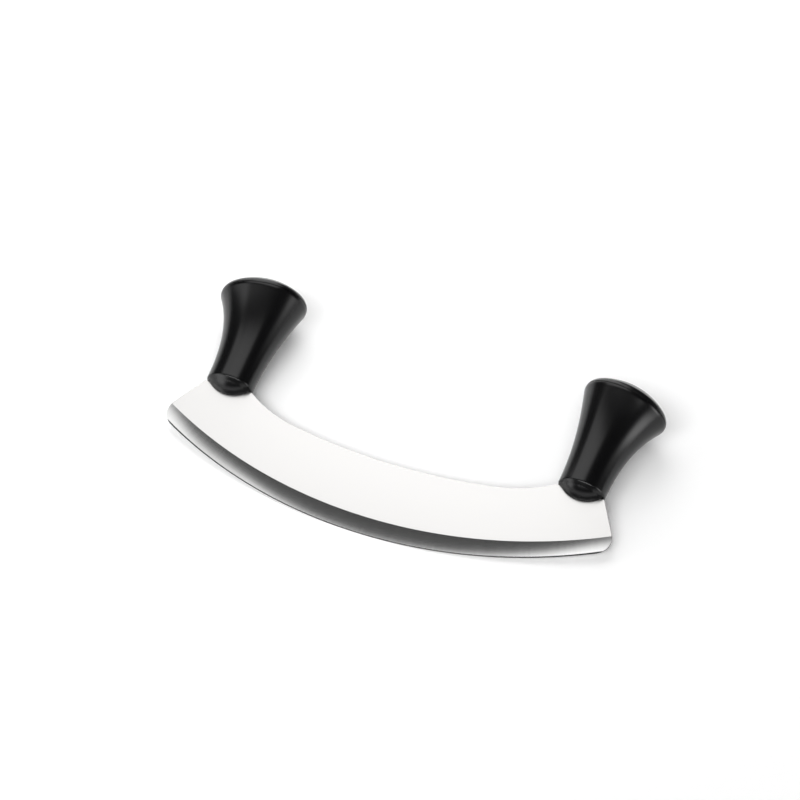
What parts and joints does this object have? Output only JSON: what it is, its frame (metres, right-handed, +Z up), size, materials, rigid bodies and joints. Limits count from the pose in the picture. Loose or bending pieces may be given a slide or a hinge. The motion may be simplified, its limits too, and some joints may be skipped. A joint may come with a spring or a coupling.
{
  "type": "mezzaluna",
  "caption": "Curved steel chopping blade ground to a rocking edge, with an upright flared plastic knob grip at each end, lying on its back.",
  "frame": {"origin": "centre of the lying knife's footprint, on the surface it lies on", "axes": "+X along the blade from the left grip to the right grip, +Y from the cutting edge towards the heads of the grips, +Z up from the table through the blade's front face"},
  "size_m": [0.235, 0.1188, 0.0357],
  "materials": {
    "blade_steel": "satin rolled sheet, stainless, with a cross-ground bevel",
    "grip_plastic": "black moulded plastic, glossy",
    "washer_steel": "zinc plated",
    "pin_steel": "hardened and ground"
  },
  "bodies": {
    "root": {"blade": "blade_steel", "grip_left": "grip_plastic", "grip_right": "grip_plastic", "cap_left": "grip_plastic", "cap_right": "grip_plastic", "washer_left": "washer_steel", "washer_right": "washer_steel", "pin_left": "pin_steel", "pin_right": "pin_steel"}
  },
  "joints": []
}
